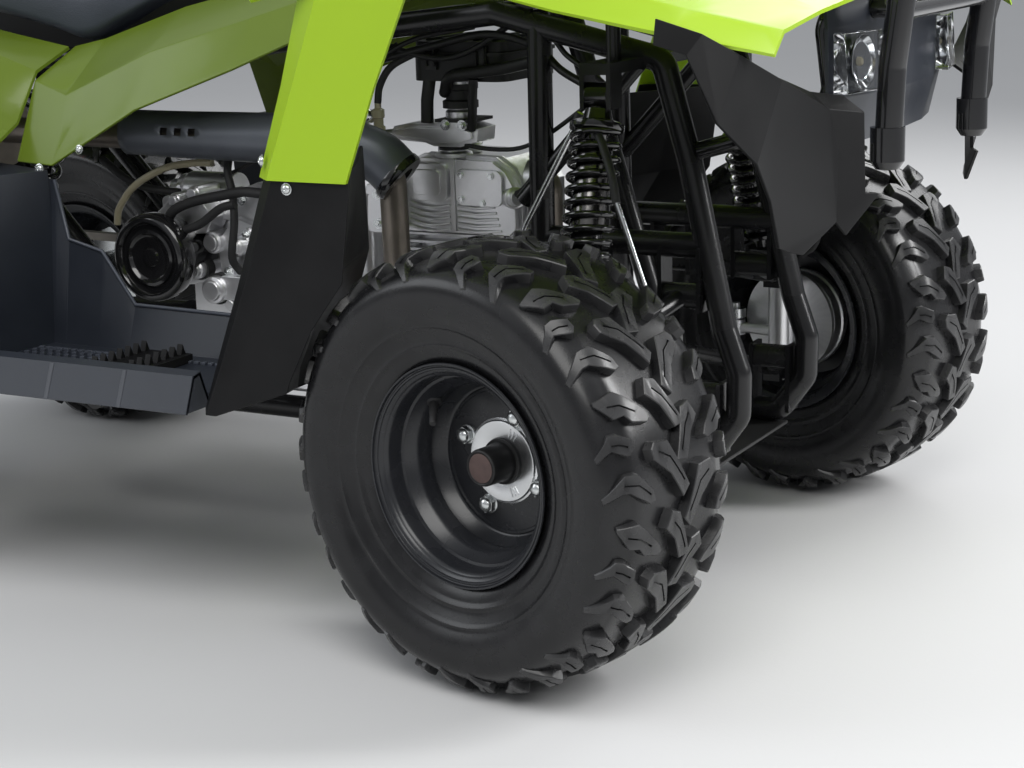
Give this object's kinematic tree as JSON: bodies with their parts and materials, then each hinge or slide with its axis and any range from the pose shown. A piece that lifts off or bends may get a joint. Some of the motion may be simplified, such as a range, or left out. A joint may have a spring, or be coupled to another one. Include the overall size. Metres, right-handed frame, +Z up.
{
  "type": "youth all-terrain vehicle",
  "caption": "Small single-rider all-terrain vehicle with tubular frame, moulded lime body, open engine and footwells, straddle seat, steering and knobbly tyres.",
  "frame": {"origin": "on the ground, at the middle of the box round the whole vehicle", "axes": "+X forward, +Y to the rider's left, +Z up"},
  "size_m": [1.674, 1.0617, 1.0314],
  "materials": {
    "frame_paint": "semi-gloss black",
    "steel_plate": "brushed",
    "lime_body": "gloss lime",
    "black_plastic": "satin black",
    "grey_plastic": "satin blue-grey",
    "lamp_glass": "clear",
    "red_lens": "red lens",
    "seat_vinyl": "grained vinyl",
    "cast_aluminium": "cast",
    "exhaust_steel": "heat stained",
    "black_gloss": "gloss black",
    "chain_steel": "oiled",
    "zinc_steel": "zinc plated",
    "grip_rubber": "ribbed",
    "rim_paint": "satin black",
    "tyre": "knobbly tread"
  },
  "bodies": {
    "root": {"frame": "frame_paint", "cross_members": "frame_paint", "arm_brackets": "frame_paint", "front_bumper": "frame_paint", "skid_plate": "steel_plate", "grab_bar": "frame_paint", "front_fender": "lime_body", "mudguards": "black_plastic", "front_flares": "black_plastic", "nose": "grey_plastic", "headlamps": "lamp_glass", "side_panels": "lime_body", "rear_fender": "lime_body", "tail_lamp": "red_lens", "fuel_cap": "black_plastic", "seat": "seat_vinyl", "footwells": "grey_plastic", "foot_pegs": "black_plastic", "crankcase": "cast_aluminium", "clutch_cover": "black_plastic", "cylinder": "cast_aluminium", "cylinder_head": "cast_aluminium", "intake": "cast_aluminium", "air_box": "black_plastic", "exhaust": "exhaust_steel", "heat_shield": "grey_plastic", "lower_arms": "frame_paint", "upper_arms": "frame_paint", "front_shocks": "black_gloss", "swing_arm": "frame_paint", "rear_shock": "black_gloss", "drive_chain": "chain_steel", "front_posts": "frame_paint"},
    "steering": {"stem": "frame_paint", "handlebar": "frame_paint", "grips": "grip_rubber", "levers": "black_plastic"},
    "knuckle_right": {"knuckle_right": "cast_aluminium"},
    "knuckle_left": {"knuckle_left": "cast_aluminium"},
    "tie_rod_right": {"tie_rod_right": "zinc_steel"},
    "tie_rod_left": {"tie_rod_left": "zinc_steel"},
    "front_wheel_right": {"front_rim_right": "rim_paint", "front_tyre_right": "tyre", "front_hub_right": "zinc_steel"},
    "front_wheel_left": {"front_rim_left": "rim_paint", "front_tyre_left": "tyre", "front_hub_left": "zinc_steel"},
    "rear_axle": {"rear_axle": "zinc_steel", "rear_rims": "rim_paint", "rear_tyres": "tyre", "sprocket": "chain_steel", "brake_disc": "zinc_steel"}
  },
  "joints": [
    {"name": "steering_turn", "type": "hinge", "parent": "root", "child": "steering", "pos_m": [0.505, 0, 0.215], "axis": [-0.2924, 0, 0.9563], "range_deg": [-20.7, 45.3]},
    {"name": "knuckle_right_turn", "type": "hinge", "parent": "root", "child": "knuckle_right", "pos_m": [0.507, -0.325, 0.226], "axis": [0, 0, 1], "range_deg": [-20.7, 45.3]},
    {"name": "knuckle_left_turn", "type": "hinge", "parent": "root", "child": "knuckle_left", "pos_m": [0.507, 0.325, 0.226], "axis": [0, 0, 1], "range_deg": [-20.7, 45.3]},
    {"name": "tie_rod_right_swing", "type": "hinge", "parent": "steering", "child": "tie_rod_right", "pos_m": [0.40568, 0.01491, 0.30594], "axis": [-0.2924, 0, 0.9563], "range_deg": [-45.3, 20.7]},
    {"name": "tie_rod_left_swing", "type": "hinge", "parent": "steering", "child": "tie_rod_left", "pos_m": [0.4013, 0.01491, 0.32028], "axis": [-0.2924, 0, 0.9563], "range_deg": [-45.3, 20.7]},
    {"name": "front_wheel_right_spin", "type": "hinge", "parent": "knuckle_right", "child": "front_wheel_right", "pos_m": [0.49102, -0.39828, 0.226], "axis": [0.213, 0.977, 0], "continuous": true},
    {"name": "front_wheel_left_spin", "type": "hinge", "parent": "knuckle_left", "child": "front_wheel_left", "pos_m": [0.52298, 0.39828, 0.226], "axis": [0.213, 0.977, 0], "continuous": true},
    {"name": "rear_axle_spin", "type": "hinge", "parent": "root", "child": "rear_axle", "pos_m": [-0.611, 0, 0.226], "axis": [0, 1, 0], "continuous": true}
  ],
  "couplings": [
    {"joint": "knuckle_right_turn", "follows": "steering_turn", "ratio": 1},
    {"joint": "knuckle_left_turn", "follows": "steering_turn", "ratio": 1},
    {"joint": "tie_rod_right_swing", "follows": "steering_turn", "ratio": -1},
    {"joint": "tie_rod_left_swing", "follows": "steering_turn", "ratio": -1}
  ]
}
